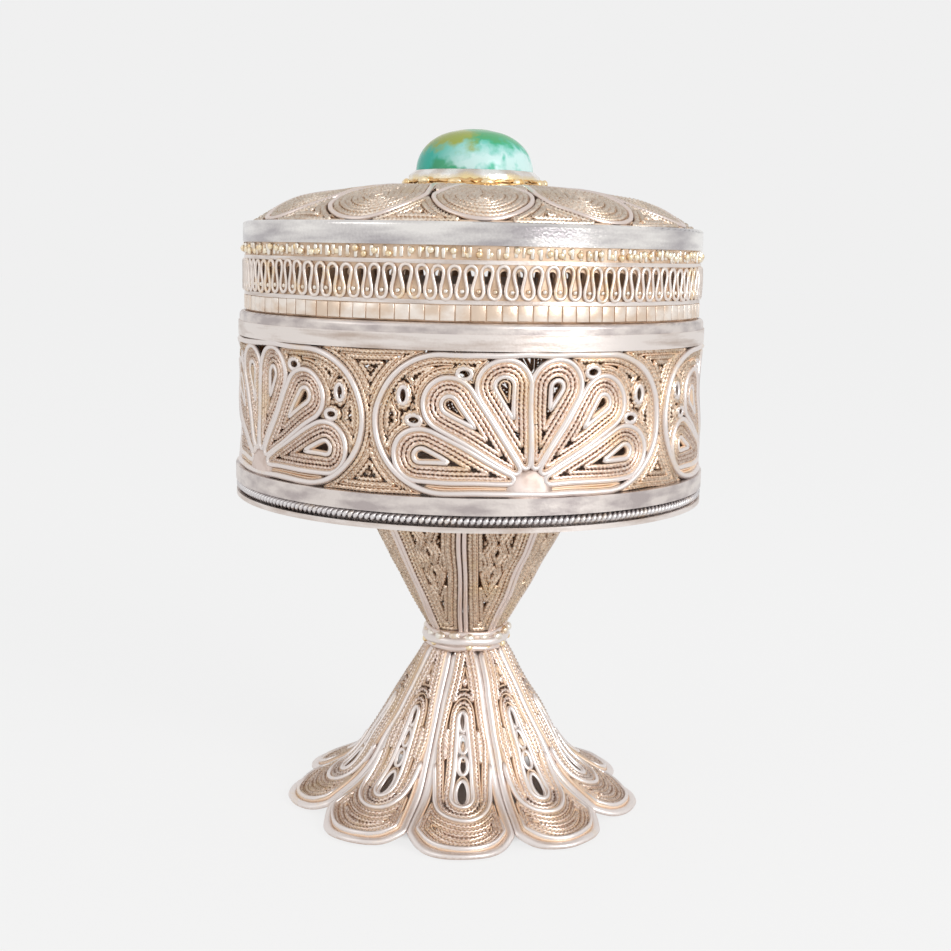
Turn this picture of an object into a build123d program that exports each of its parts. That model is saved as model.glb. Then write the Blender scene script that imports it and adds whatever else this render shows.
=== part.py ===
from build123d import *
from math import cos, degrees, pi, radians, sin
import os

# A stemmed trinket box in silver filigree, with a scalloped bell foot, a ribbed stem cup, a round
# box with five fan medallions, and a lift-off lid whose cabochon stone is the knob.
# Millimetres, +Z up. The origin is on the axis, on the surface that the foot stands on.
# Angles round the axis are counted from the front, -Y, towards +X.

os.makedirs("parts", exist_ok=True)

# Foot: petals with rounded tips that flare from the waist, each edged by a smooth wire
petal_count = 9
foot_height = 14.0
foot_throat_radius = 3.35
foot_bend_radius = 9.6
foot_bend_height = 3.2
foot_bend_round = 8.0
foot_tip_radius = 15.6
foot_lip_width = 1.3
foot_lip_round = 2.5
foot_valley_radius = 13.0
foot_groove = 0.24
foot_sheet = 0.6
foot_wire_relief = 0.3
foot_outline_width = 0.7
foot_arch_depth = 3.3
foot_arch_width = 0.5
foot_drop_start = 5.8
foot_drop_gap = 0.8
foot_drop_top_width = 1.1
foot_drop_width = 2.2
foot_drop_wire = 0.4
foot_eye_width = 0.8
foot_eye_clearance = 0.05

# Waist ring and stem cup: a cone of panels with smooth ribs over their joints
waist_height = 1.8
waist_radius = 4.05
waist_bore_radius = 2.7
waist_round = 0.5
cup_panel_count = 8
first_cup_rib_angle = -3.0
cup_height = 11.8
cup_bottom_radius = 3.2
cup_top_radius = 9.55
cup_sheet = 0.6
cup_panel_gap = 0.2
cup_rib_width = 0.9
cup_rib_relief = 0.3

# Box wall: an openwork ground with frames and fans in relief, between plain bands
box_radius = 20.0
floor_thickness = 0.6
edge_wire_height = 0.4
edge_wire_inset = 0.05
rope_diameter = 0.9
bottom_band_height = 1.3
bottom_band_leg = 0.35
frieze_height = 10.8
ground_inset = 0.7
ground_thickness = 0.55
top_band_height = 1.2
top_band_inset = 0.25
rim_wire_height = 0.8
rim_wire_inset = 0.35
rim_wire_round = 0.35

# Medallions: a wire frame with straight rails and round ends, and a fan of six petals in it
medallion_count = 5
first_medallion_angle = 13.7
frame_end_gap = 0.6
frame_wire = 0.5
frame_relief = 0.6
fan_petal_count = 6
fan_relief = 0.5
fan_wire = 0.42
fan_hub_radius = 1.05
fan_hub_rise = 0.9
fan_reach = 8.5
fan_root_distance = 1.6
fan_root_radius = 0.55
fan_tip_radius = 2.2
fan_clearance = 0.1
slot_length = 3.2
slot_root_radius = 0.15
slot_tip_radius = 0.38

# Lid: a wall of stacked rings that slides over the collar, and a low dome with petals
lid_step = 0.65
lid_wall = 0.55
lid_wall_inset = 0.2
lid_clearance = 0.15
collar_wall = 0.45
collar_rise = 2.8
strip_height = 1.35
strip_round = 0.25
separator_height = 0.3
separator_relief = 0.1
wave_height = 2.6
wave_count = 100
wave_hole_top_radius = 0.3
wave_hole_bottom_radius = 0.12
wave_hole_height = 1.7
bead_row_height = 1.05
rim_band_height = 1.7
rim_band_width = 0.85
rim_band_round = 0.3
dome_edge_drop = 0.1
dome_height = 3.1
dome_sheet = 0.6
dome_shoulder_radius = 12.5
dome_shoulder_drop = 0.6
dome_petal_count = 11
first_dome_petal_angle = 3.0
dome_wire = 0.5
dome_wire_relief = 0.3
dome_petal_root_radius = 0.9
dome_petal_gap = 0.15

# Stone and bezel
stone_radius = 4.95
stone_girdle_height = 0.9
stone_crown_height = 3.8
stone_fullness = 2.3
stone_crown_points = 7
bezel_clearance = 0.05
bezel_floor = 0.3
bezel_wall_height = 1.1
bezel_wall = 0.55
bezel_bevel = 0.4
bezel_wire_diameter = 0.4

# Levels from the floor up, each on top of the one before
cup_base = foot_height + waist_height
box_base = cup_base + cup_height
rope_base = box_base + edge_wire_height
band_base = rope_base + rope_diameter
frieze_base = band_base + bottom_band_height
frieze_top = frieze_base + frieze_height
rim_base = frieze_top + top_band_height
seam = rim_base + rim_wire_height
strip_top = seam + strip_height
wave_base = strip_top + separator_height
wave_top = wave_base + wave_height
bead_base = wave_top + separator_height
rim_band_base = bead_base + bead_row_height
rim_band_top = rim_band_base + rim_band_height
bezel_base = rim_band_top - dome_edge_drop + dome_height
stone_base = bezel_base + bezel_floor

# Radii that follow from the box and from the fits
ground_radius = box_radius - ground_inset
wall_bore = ground_radius - ground_thickness
lid_radius = box_radius - lid_step
lid_wall_radius = lid_radius - lid_wall_inset
lid_bore = lid_wall_radius - lid_wall
collar_radius = lid_bore - lid_clearance
dome_radius = lid_radius - rim_band_width
bezel_bore = stone_radius + bezel_clearance
bezel_radius = bezel_bore + bezel_wall
bezel_foot_radius = bezel_radius + bezel_wire_diameter

# How far a cutting or trimming shape runs past what it cuts
overrun = 2.0

# The film of solder between a round or domed wire and what it lies on
solder_gap = 0.01


def ring_section(inner_radius, outer_radius, base, top):
    """A flat ring between two levels, added to the part in hand."""
    with BuildSketch(Plane.XY.offset(base)) as section:
        Circle(outer_radius)
        Circle(inner_radius, mode=Mode.SUBTRACT)
    extrude(section.sketch, amount=top - base)


def wall_plane(distance, angle=0.0):
    """The plane that touches a cylinder at an angle from the front: X along the wall, Y up."""
    outward = Vector(sin(radians(angle)), -cos(radians(angle)), 0)
    along = Vector(cos(radians(angle)), sin(radians(angle)), 0)
    return Plane(origin=outward * distance, x_dir=along, z_dir=outward)


def front_sector(reach, angle, mode=Mode.ADD):
    """A wedge of a disc, as wide as the angle and centred on the front, in the sketch in hand."""
    half = radians(angle / 2)
    left = (-reach * sin(half), -reach * cos(half))
    right = (reach * sin(half), -reach * cos(half))
    with BuildLine() as outline:
        Line((0, 0), left)
        ThreePointArc(left, (0, -reach), right)
        Line(right, (0, 0))
    make_face(outline.edges(), mode=mode)


def teardrop(root, root_radius, tip, tip_radius):
    """The outline round two circles, as a sketch of its own."""
    with BuildSketch(mode=Mode.PRIVATE) as drop:
        with Locations(root):
            Circle(root_radius)
        with Locations(tip):
            Circle(tip_radius)
        make_hull()
    return drop.sketch


def save_copies(master, name, count, first_angle):
    """The same piece set round the axis, each copy a node of its own."""
    for number in range(1, count + 1):
        with BuildPart() as piece:
            add(master.part, rotation=(0, 0, first_angle + (number - 1) * 360 / count))
        piece.part.label = f"{name}_{number}"
        export_step(piece.part, f"parts/{name}_{number}.step")


# Foot petals: one bell sheet, cut to a petal's outline as seen from above
petal_angle = 360 / petal_count
valley_side = foot_valley_radius * sin(radians(petal_angle / 2))
valley_reach = foot_valley_radius * cos(radians(petal_angle / 2))
tip_rise = foot_tip_radius - valley_reach
tip_round = (valley_side**2 + tip_rise**2) / (2 * tip_rise)
tip_centre = foot_tip_radius - tip_round
bell_slant = (foot_bend_radius - foot_throat_radius) / (foot_height - foot_bend_height)


def bell_sheet(thickness, side):
    """A sheet on the outer face of the bell, on its outside or its inside, revolved."""
    with BuildSketch(Plane.XZ) as section:
        with BuildLine():
            face = FilletPolyline(
                (foot_throat_radius - bell_slant * overrun, foot_height + overrun),
                (foot_bend_radius, foot_bend_height),
                (foot_tip_radius - foot_lip_width, foot_sheet),
                (foot_tip_radius + overrun, foot_sheet),
                radius=(foot_bend_round, foot_lip_round),
            )
            offset(face, amount=thickness, side=side)
        make_face()
    revolve(section.sketch, axis=Axis.Z)


def petal_outline():
    """One petal from above, drawn in by half a groove, in the sketch in hand."""
    front_sector(valley_reach, petal_angle)
    with Locations((0, -tip_centre)):
        Circle(tip_round)
    front_sector(foot_tip_radius + overrun, petal_angle, mode=Mode.INTERSECT)
    offset(amount=-foot_groove / 2, mode=Mode.REPLACE)


# The arch wire runs from rib to rib inside the tip, and the drop stands above it
petal_slope = sin(radians(petal_angle / 2))
arch_reach = foot_tip_radius - foot_arch_depth
arch_room = arch_reach * petal_slope - foot_groove / 2 - foot_outline_width
arch_radius = arch_room / (1 + petal_slope)
arch_centre = arch_reach - arch_radius
drop_root_radius = foot_drop_top_width / 2
drop_tip_radius = foot_drop_width / 2
drop_reach = arch_reach - foot_arch_width - foot_drop_gap
drop_root = (0, -foot_drop_start - drop_root_radius)
drop_tip = (0, -drop_reach + drop_tip_radius)

# Each petal has one oval eye, in the round end of its drop
eye_half_length = drop_tip_radius - foot_drop_wire - foot_eye_clearance
with BuildPart() as foot_petal:
    bell_sheet(foot_sheet, Side.RIGHT)
    with BuildSketch():
        petal_outline()
        with Locations(drop_tip):
            Ellipse(foot_eye_width / 2, eye_half_length, mode=Mode.SUBTRACT)
    extrude(amount=foot_height, mode=Mode.INTERSECT)
save_copies(foot_petal, "foot_petal", petal_count, 0)

with BuildPart() as outline_wire:
    bell_sheet(foot_wire_relief, Side.LEFT)
    with BuildSketch():
        petal_outline()
        offset(amount=-foot_outline_width, mode=Mode.SUBTRACT)
    extrude(amount=foot_height, mode=Mode.INTERSECT)

with BuildPart() as arch_wire:
    bell_sheet(foot_wire_relief, Side.LEFT)
    with BuildSketch():
        with Locations((0, -arch_centre)):
            Circle(arch_radius)
            Circle(arch_radius - foot_arch_width, mode=Mode.SUBTRACT)
        with Locations((0, -arch_centre + arch_radius)):
            Rectangle(2 * arch_radius, 2 * arch_radius, mode=Mode.SUBTRACT)
    extrude(amount=foot_height, mode=Mode.INTERSECT)

with BuildPart() as drop_wire:
    bell_sheet(foot_wire_relief, Side.LEFT)
    with BuildSketch():
        add(teardrop(drop_root, drop_root_radius, drop_tip, drop_tip_radius))
        inner_root_radius = drop_root_radius - foot_drop_wire
        inner_tip_radius = drop_tip_radius - foot_drop_wire
        add(teardrop(drop_root, inner_root_radius, drop_tip, inner_tip_radius), mode=Mode.SUBTRACT)
    extrude(amount=foot_height, mode=Mode.INTERSECT)

with BuildPart() as foot_outline_wires:
    with PolarLocations(0, petal_count):
        add(outline_wire.part)
foot_outline_wires.part.label = "foot_outline_wires"
export_step(foot_outline_wires.part, "parts/foot_outline_wires.step")

with BuildPart() as foot_arch_wires:
    with PolarLocations(0, petal_count):
        add(arch_wire.part)
foot_arch_wires.part.label = "foot_arch_wires"
export_step(foot_arch_wires.part, "parts/foot_arch_wires.step")

with BuildPart() as foot_drop_wires:
    with PolarLocations(0, petal_count):
        add(drop_wire.part)
foot_drop_wires.part.label = "foot_drop_wires"
export_step(foot_drop_wires.part, "parts/foot_drop_wires.step")

# Waist ring: the foot's petals end under it and the cup's panels stand on it
with BuildPart() as waist_ring:
    ring_section(waist_bore_radius, waist_radius, foot_height, cup_base)
    outer_edges = waist_ring.edges().filter_by(GeomType.CIRCLE).group_by(SortBy.RADIUS)[-1]
    fillet(outer_edges, radius=waist_round)
waist_ring.part.label = "waist_ring"
export_step(waist_ring.part, "parts/waist_ring.step")


def cup_cone(inner, outer):
    """The cone of the stem cup between two distances outside its outer face, revolved."""
    with BuildSketch(Plane.XZ) as section:
        with BuildLine():
            Polyline(
                (cup_bottom_radius + inner, cup_base),
                (cup_bottom_radius + outer, cup_base),
                (cup_top_radius + outer, box_base),
                (cup_top_radius + inner, box_base),
                close=True,
            )
        make_face()
    revolve(section.sketch, axis=Axis.Z)


cup_panel_angle = 360 / cup_panel_count
with BuildPart() as cup_panel:
    cup_cone(-cup_sheet, 0)
    with BuildSketch():
        front_sector(cup_top_radius + overrun, cup_panel_angle)
        offset(amount=-cup_panel_gap / 2, mode=Mode.REPLACE)
    extrude(amount=box_base, mode=Mode.INTERSECT)

with BuildPart() as stem_cup_panels:
    with PolarLocations(0, cup_panel_count, start_angle=first_cup_rib_angle + cup_panel_angle / 2):
        add(cup_panel.part)
stem_cup_panels.part.label = "stem_cup_panels"
export_step(stem_cup_panels.part, "parts/stem_cup_panels.step")

with BuildPart() as cup_rib:
    cup_cone(0, cup_rib_relief)
    with BuildSketch():
        with Locations((0, -cup_top_radius / 2)):
            Rectangle(cup_rib_width, cup_top_radius + overrun)
    extrude(amount=box_base, mode=Mode.INTERSECT)

with BuildPart() as stem_cup_ribs:
    with PolarLocations(0, cup_panel_count, start_angle=first_cup_rib_angle):
        add(cup_rib.part)
stem_cup_ribs.part.label = "stem_cup_ribs"
export_step(stem_cup_ribs.part, "parts/stem_cup_ribs.step")

# Box bottom: a floor plate inside a band whose leg carries a rope wire over an edge wire
with BuildPart() as floor_plate:
    with BuildSketch(Plane.XY.offset(box_base)):
        Circle(wall_bore)
    extrude(amount=floor_thickness)
floor_plate.part.label = "floor_plate"
export_step(floor_plate.part, "parts/floor_plate.step")

with BuildPart() as base_edge_wire:
    ring_section(wall_bore, box_radius - edge_wire_inset, box_base, rope_base)
base_edge_wire.part.label = "base_edge_wire"
export_step(base_edge_wire.part, "parts/base_edge_wire.step")

band_leg_radius = wall_bore + bottom_band_leg
with BuildPart() as bottom_band:
    ring_section(wall_bore, band_leg_radius, rope_base, band_base)
    ring_section(wall_bore, box_radius, band_base, frieze_base)
bottom_band.part.label = "bottom_band"
export_step(bottom_band.part, "parts/bottom_band.step")

with BuildPart() as rope_wire:
    with BuildSketch(Plane.XZ):
        with Locations((band_leg_radius + rope_diameter / 2, rope_base + rope_diameter / 2)):
            Circle(rope_diameter / 2 - solder_gap)
    revolve(axis=Axis.Z)
rope_wire.part.label = "rope_wire"
export_step(rope_wire.part, "parts/rope_wire.step")

# Medallions: shapes are drawn flat on a plane that touches the wall and pushed through it
medallion_angle = 360 / medallion_count
frieze_middle = (frieze_base + frieze_top) / 2
frame_half_height = frieze_height / 2
frame_half_length = pi * ground_radius / medallion_count - frame_end_gap / 2
hub_height = frieze_base + fan_hub_rise
fan_top_room = frieze_top - frame_wire - fan_clearance - hub_height - fan_tip_radius


def flat_x(arc_length):
    """Where a length along the wall's round falls on the flat plane."""
    return ground_radius * sin(arc_length / ground_radius)


def medallion_shape(inset):
    """Straight rails with round ends, drawn in by an inset, in the sketch in hand."""
    end_centre = flat_x(frame_half_length - frame_half_height)
    end_reach = flat_x(frame_half_length) - end_centre
    with Locations((0, frieze_middle)):
        Rectangle(2 * end_centre, 2 * (frame_half_height - inset))
    with Locations((-end_centre, frieze_middle), (end_centre, frieze_middle)):
        Ellipse(end_reach - inset, frame_half_height - inset)


def fan_angle(number):
    """The angle of one petal of the fan above the bottom rail, counted from the right."""
    return radians(180 / fan_petal_count * (number + 0.5))


def petal_reach(number):
    """From the hub to the centre of a petal's round tip, short enough to stay under the rail."""
    return min(fan_reach, fan_top_room / sin(fan_angle(number)))


def fan_petal(number, start, start_radius, end_radius):
    """A teardrop along one petal of the fan, from a distance off the hub to the petal's tip."""
    angle = fan_angle(number)
    end = petal_reach(number)
    root = (flat_x(start * cos(angle)), hub_height + start * sin(angle))
    tip = (flat_x(end * cos(angle)), hub_height + end * sin(angle))
    return teardrop(root, start_radius, tip, end_radius)


# Deep enough to pass the wall and its bend, and short of the far wall
push_depth = ground_radius
with BuildPart() as medallion_frame:
    ring_section(ground_radius, ground_radius + frame_relief, frieze_base, frieze_top)
    with BuildSketch(wall_plane(box_radius)):
        medallion_shape(0)
        with BuildSketch(mode=Mode.SUBTRACT):
            medallion_shape(frame_wire)
    extrude(amount=-push_depth, mode=Mode.INTERSECT)
save_copies(medallion_frame, "medallion_frame", medallion_count, first_medallion_angle)

with BuildPart() as fan:
    ring_section(ground_radius, ground_radius + fan_relief, frieze_base, frieze_top)
    with BuildSketch(wall_plane(box_radius)):
        for number in range(fan_petal_count):
            outline = fan_petal(number, fan_root_distance, fan_root_radius, fan_tip_radius)
            inner_root = fan_root_radius - fan_wire
            inner_tip = fan_tip_radius - fan_wire
            add(outline - fan_petal(number, fan_root_distance, inner_root, inner_tip))
        with Locations((0, hub_height)):
            Circle(fan_hub_radius)
        with BuildSketch(mode=Mode.INTERSECT):
            medallion_shape(frame_wire)
    extrude(amount=-push_depth, mode=Mode.INTERSECT)
save_copies(fan, "fan", medallion_count, first_medallion_angle)

with BuildPart() as medallion_fill:
    ring_section(wall_bore, ground_radius, frieze_base, frieze_top)
    with BuildSketch(wall_plane(box_radius)):
        medallion_shape(0)
        for number in range(fan_petal_count):
            slot_start = petal_reach(number) - slot_length
            slot = fan_petal(number, slot_start, slot_root_radius, slot_tip_radius)
            add(slot, mode=Mode.SUBTRACT)
    extrude(amount=-push_depth, mode=Mode.INTERSECT)
    with BuildSketch(Plane.XY.offset(frieze_base)):
        front_sector(box_radius + overrun, medallion_angle)
    extrude(amount=frieze_height, mode=Mode.INTERSECT)
save_copies(medallion_fill, "medallion_fill", medallion_count, first_medallion_angle)

# Spandrels: what is left of the ground above and below the gap between two medallions
with BuildPart() as spandrel_fill:
    ring_section(wall_bore, ground_radius, frieze_base, frieze_top)
    with BuildSketch(Plane.XY.offset(frieze_base)):
        front_sector(box_radius + overrun, medallion_angle)
    extrude(amount=frieze_height, mode=Mode.INTERSECT)
    for side in (-1, 1):
        with BuildSketch(wall_plane(box_radius, side * medallion_angle / 2)):
            medallion_shape(0)
        extrude(amount=-push_depth, mode=Mode.SUBTRACT)
first_spandrel_angle = first_medallion_angle + medallion_angle / 2
save_copies(spandrel_fill, "spandrel_fill", medallion_count, first_spandrel_angle)

# Rim: the top band and the rim wire carry the collar that the lid slides over
with BuildPart() as top_band:
    ring_section(collar_radius, box_radius - top_band_inset, frieze_top, rim_base)
top_band.part.label = "top_band"
export_step(top_band.part, "parts/top_band.step")

with BuildPart() as rim_wire:
    ring_section(collar_radius, box_radius - rim_wire_inset, rim_base, seam)
    fillet(
        rim_wire.faces().sort_by(Axis.Z)[-1].edges().sort_by(SortBy.LENGTH)[-1],
        radius=rim_wire_round,
    )
rim_wire.part.label = "rim_wire"
export_step(rim_wire.part, "parts/rim_wire.step")

with BuildPart() as inner_collar:
    ring_section(collar_radius - collar_wall, collar_radius, frieze_top, seam + collar_rise)
inner_collar.part.label = "inner_collar"
export_step(inner_collar.part, "parts/inner_collar.step")

# Lid wall: edge strip, wire, pierced wave band, wire, bead row and polished rim band
with BuildPart() as lid_edge_strip:
    ring_section(lid_bore, lid_wall_radius, seam, strip_top)
    fillet(
        lid_edge_strip.faces().sort_by(Axis.Z)[0].edges().sort_by(SortBy.LENGTH)[-1],
        radius=strip_round,
    )
lid_edge_strip.part.label = "lid_edge_strip"
export_step(lid_edge_strip.part, "parts/lid_edge_strip.step")

with BuildPart() as lid_lower_wire:
    ring_section(lid_bore, lid_wall_radius + separator_relief, strip_top, wave_base)
lid_lower_wire.part.label = "lid_lower_wire"
export_step(lid_lower_wire.part, "parts/lid_lower_wire.step")

with BuildPart() as lid_upper_wire:
    ring_section(lid_bore, lid_wall_radius + separator_relief, wave_top, bead_base)
lid_upper_wire.part.label = "lid_upper_wire"
export_step(lid_upper_wire.part, "parts/lid_upper_wire.step")

hole_half = wave_hole_height / 2
wave_middle = (wave_base + wave_top) / 2
wave_hole_top = (0, wave_middle + hole_half - wave_hole_top_radius)
wave_hole_bottom = (0, wave_middle - hole_half + wave_hole_bottom_radius)
with BuildPart() as wave_hole:
    with BuildSketch(wall_plane(lid_wall_radius + overrun)):
        add(teardrop(wave_hole_bottom, wave_hole_bottom_radius, wave_hole_top, wave_hole_top_radius))
    extrude(amount=-lid_wall - 2 * overrun)

with BuildPart() as lid_wave_band:
    ring_section(lid_bore, lid_wall_radius, wave_base, wave_top)
    with PolarLocations(0, wave_count):
        add(wave_hole.part, mode=Mode.SUBTRACT)
lid_wave_band.part.label = "lid_wave_band"
export_step(lid_wave_band.part, "parts/lid_wave_band.step")

with BuildPart() as lid_bead_row:
    ring_section(lid_bore, lid_wall_radius, bead_base, rim_band_base)
lid_bead_row.part.label = "lid_bead_row"
export_step(lid_bead_row.part, "parts/lid_bead_row.step")

with BuildPart() as lid_rim_band:
    ring_section(dome_radius, lid_radius, rim_band_base, rim_band_top)
    fillet(
        lid_rim_band.faces().sort_by(Axis.Z)[-1].edges().sort_by(SortBy.LENGTH)[-1],
        radius=rim_band_round,
    )
lid_rim_band.part.label = "lid_rim_band"
export_step(lid_rim_band.part, "parts/lid_rim_band.step")


def dome_line(lift):
    """Half of the dome's outer face at a lift above it, added to the line in hand."""
    seat_level = bezel_base + lift
    seat = Line((0, seat_level), (bezel_foot_radius, seat_level))
    shoulder = (dome_shoulder_radius, seat_level - dome_shoulder_drop)
    crown = TangentArc(seat @ 1, shoulder, tangent=seat % 1)
    brim = TangentArc(crown @ 1, (dome_radius, seat_level - dome_height), tangent=crown % 1)
    return seat @ 0, brim @ 1


def dome_sheet_between(low, high):
    """The dome between two lifts above its outer face, revolved."""
    with BuildSketch(Plane.XZ) as section:
        with BuildLine():
            low_start, low_end = dome_line(low)
            high_start, high_end = dome_line(high)
            Line(low_start, high_start)
            Line(low_end, high_end)
        make_face()
    revolve(section.sketch, axis=Axis.Z)


with BuildPart() as lid_dome:
    dome_sheet_between(-dome_sheet, 0)
lid_dome.part.label = "lid_dome"
export_step(lid_dome.part, "parts/lid_dome.step")

# Dome petals: the widest round outlines that fit side by side inside the rim band
half_petal_sine = sin(radians(180 / dome_petal_count))
dome_petal_reach = dome_radius - dome_petal_gap
dome_tip_radius = (dome_petal_reach * half_petal_sine - dome_petal_gap / 2) / (1 + half_petal_sine)
dome_petal_tip = (0, dome_tip_radius - dome_petal_reach)
dome_petal_root = (0, -bezel_foot_radius - dome_petal_gap - dome_petal_root_radius)
with BuildPart() as dome_petal:
    dome_sheet_between(solder_gap, dome_wire_relief)
    with BuildSketch():
        add(teardrop(dome_petal_root, dome_petal_root_radius, dome_petal_tip, dome_tip_radius))
        offset(amount=-dome_wire, mode=Mode.SUBTRACT)
    extrude(amount=stone_base, mode=Mode.INTERSECT)

with BuildPart() as dome_petal_wires:
    with PolarLocations(0, dome_petal_count, start_angle=first_dome_petal_angle):
        add(dome_petal.part)
dome_petal_wires.part.label = "dome_petal_wires"
export_step(dome_petal_wires.part, "parts/dome_petal_wires.step")

# Bezel: a cup with a bevelled edge round the stone, and a twisted wire round its foot
bezel_top = bezel_base + bezel_wall_height + bezel_bevel
with BuildPart() as bezel_cup:
    with BuildSketch(Plane.XZ):
        with BuildLine():
            Polyline(
                (0, bezel_base),
                (bezel_radius, bezel_base),
                (bezel_radius, bezel_base + bezel_wall_height),
                (bezel_bore + bezel_clearance, bezel_top),
                (bezel_bore, bezel_top),
                (bezel_bore, stone_base),
                (0, stone_base),
                close=True,
            )
        make_face()
    revolve(axis=Axis.Z)
bezel_cup.part.label = "bezel_cup"
export_step(bezel_cup.part, "parts/bezel_cup.step")

with BuildPart() as bezel_foot_wire:
    with BuildSketch(Plane.XZ):
        wire_radius = bezel_wire_diameter / 2
        with Locations((bezel_radius + wire_radius, bezel_base + wire_radius)):
            Circle(wire_radius - solder_gap)
    revolve(axis=Axis.Z)
bezel_foot_wire.part.label = "bezel_foot_wire"
export_step(bezel_foot_wire.part, "parts/bezel_foot_wire.step")

# Stone: an upright girdle, then a crown fuller than an ellipse, so that its top looks flattened
girdle_top = stone_base + stone_girdle_height
with BuildPart() as stone:
    with BuildSketch(Plane.XZ):
        with BuildLine():
            base = Line((0, stone_base), (stone_radius, stone_base))
            girdle = Line(base @ 1, (stone_radius, girdle_top))
            crown_points = []
            for step in range(1, stone_crown_points):
                turn = pi / 2 * step / stone_crown_points
                out = stone_radius * cos(turn) ** (2 / stone_fullness)
                up = stone_crown_height * sin(turn) ** (2 / stone_fullness)
                crown_points.append((out, girdle_top + up))
            stone_top = (0, girdle_top + stone_crown_height)
            Spline(girdle @ 1, *crown_points, stone_top, tangents=((0, 1), (-1, 0)))
            Line(stone_top, (0, stone_base))
        make_face()
    revolve(axis=Axis.Z)
stone.part.label = "stone"
export_step(stone.part, "parts/stone.step")

print("height", round(girdle_top + stone_crown_height, 3), "width", round(2 * box_radius, 3))
print("medallion frame length", round(2 * frame_half_length, 2), "height", frieze_height)
print("petal tip rounding", round(tip_round, 2), "dome petal rounding", round(dome_tip_radius, 2))
print("frame span in degrees", round(2 * degrees(frame_half_length / ground_radius), 2))
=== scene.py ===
# %% [markdown]
# A filigree trinket box, dressed in Blender.
# The box is silver wire soldered side by side: smooth wires draw the outlines, and twisted wires fill them.
# The frame that is loaded here holds the plain solids at their real size. Each filled panel is replaced
# by real wires on the same surface, and the bands, the floor and the stone keep their solids.

# %% Load the frame
from collections import namedtuple
from math import atan2, cos, degrees, hypot, pi, radians, sin

import bmesh
import bpy
import numpy as np
from mathutils import Matrix, Vector


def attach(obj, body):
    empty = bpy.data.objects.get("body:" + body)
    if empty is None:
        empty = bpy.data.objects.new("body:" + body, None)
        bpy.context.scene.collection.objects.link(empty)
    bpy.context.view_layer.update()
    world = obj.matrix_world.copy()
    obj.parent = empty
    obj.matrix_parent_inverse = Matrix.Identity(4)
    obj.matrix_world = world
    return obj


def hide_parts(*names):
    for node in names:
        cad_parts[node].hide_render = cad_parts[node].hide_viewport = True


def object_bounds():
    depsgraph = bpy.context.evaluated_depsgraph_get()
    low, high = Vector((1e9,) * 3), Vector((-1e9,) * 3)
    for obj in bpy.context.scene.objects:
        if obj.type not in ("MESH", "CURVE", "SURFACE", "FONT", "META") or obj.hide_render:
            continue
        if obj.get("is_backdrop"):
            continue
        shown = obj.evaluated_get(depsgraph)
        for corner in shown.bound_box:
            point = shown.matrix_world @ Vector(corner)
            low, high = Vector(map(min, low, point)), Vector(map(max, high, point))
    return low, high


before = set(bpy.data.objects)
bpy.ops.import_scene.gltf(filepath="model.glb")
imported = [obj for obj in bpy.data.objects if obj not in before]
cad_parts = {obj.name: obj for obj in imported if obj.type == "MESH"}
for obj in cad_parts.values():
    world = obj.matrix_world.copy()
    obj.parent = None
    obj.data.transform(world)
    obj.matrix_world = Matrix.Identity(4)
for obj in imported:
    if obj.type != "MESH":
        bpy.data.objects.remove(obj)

cad_low, cad_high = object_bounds()
print("solids", len(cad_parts), "box", [round(v * 1000, 2) for v in cad_high - cad_low])

# %% [markdown]
# The drawings below are in millimetres, as a silversmith would draw them, and Blender works in metres.
# Levels and radii are measured on the solids, so that each wire lies where the solid says.

# %% Measure the solids
MM = 0.001


def ring_of(node):
    """The inner radius, outer radius, low level and high level of a solid, in millimetres."""
    corners = np.array([v.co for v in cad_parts[node].data.vertices]) / MM
    radii = np.hypot(corners[:, 0], corners[:, 1])
    return radii.min(), radii.max(), corners[:, 2].min(), corners[:, 2].max()


def turn_of(node):
    """The angle from the front, in degrees, of the middle of a solid."""
    middle = np.mean([v.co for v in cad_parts[node].data.vertices], axis=0)
    return degrees(atan2(middle[0], -middle[1]))


ground_radius = ring_of("medallion_fill_1")[1]
frieze_base, frieze_top = ring_of("medallion_fill_1")[2:]
lid_wall_radius = ring_of("lid_wave_band")[1]
wave_base, wave_top = ring_of("lid_wave_band")[2:]
bead_base, bead_top = ring_of("lid_bead_row")[2:]
strip_base, strip_top = ring_of("lid_edge_strip")[2:]
dome_radius = ring_of("lid_dome")[1]
bezel_radius, bezel_base = ring_of("bezel_cup")[1], ring_of("bezel_cup")[2]
stone_base, stone_top = ring_of("stone")[2:]
waist_radius, waist_base, cup_base = ring_of("waist_ring")[1:]
box_base = ring_of("floor_plate")[2]
foot_radius = ring_of("foot_petal_1")[1]
print("frieze from", round(frieze_base, 2), "to", round(frieze_top, 2), "mm, radius", round(ground_radius, 2))

# %% [markdown]
# Node trees are built in Python. A small class wraps a socket, so that a sum on sockets adds its own Math
# nodes, and one method makes every other kind of node.

# %% A socket that can be used in sums


def both_ways(operation):
    """The method for a sign between a socket and another value, and its reflected form."""
    return (lambda self, other: self.sum(operation, self, other),
            lambda self, other: self.sum(operation, other, self))


class Socket:
    """One output of a node. Sums with it add Math nodes, or Vector Math nodes where it is a vector."""

    def __init__(self, tree, output):
        self.tree = tree
        self.output = output

    def sum(self, operation, first, second):
        vectors = any(isinstance(s, Socket) and s.output.type == "VECTOR" for s in (first, second))
        kind = "ShaderNodeVectorMath" if vectors else "ShaderNodeMath"
        return self.tree.node(kind, {0: first, 1: second}, operation=operation)

    __add__, __radd__ = both_ways("ADD")
    __sub__, __rsub__ = both_ways("SUBTRACT")
    __mul__, __rmul__ = both_ways("MULTIPLY")
    __truediv__, __rtruediv__ = both_ways("DIVIDE")

    def sibling(self, label):
        """Another output of the same node."""
        return Socket(self.tree, self.output.node.outputs[label])


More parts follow.
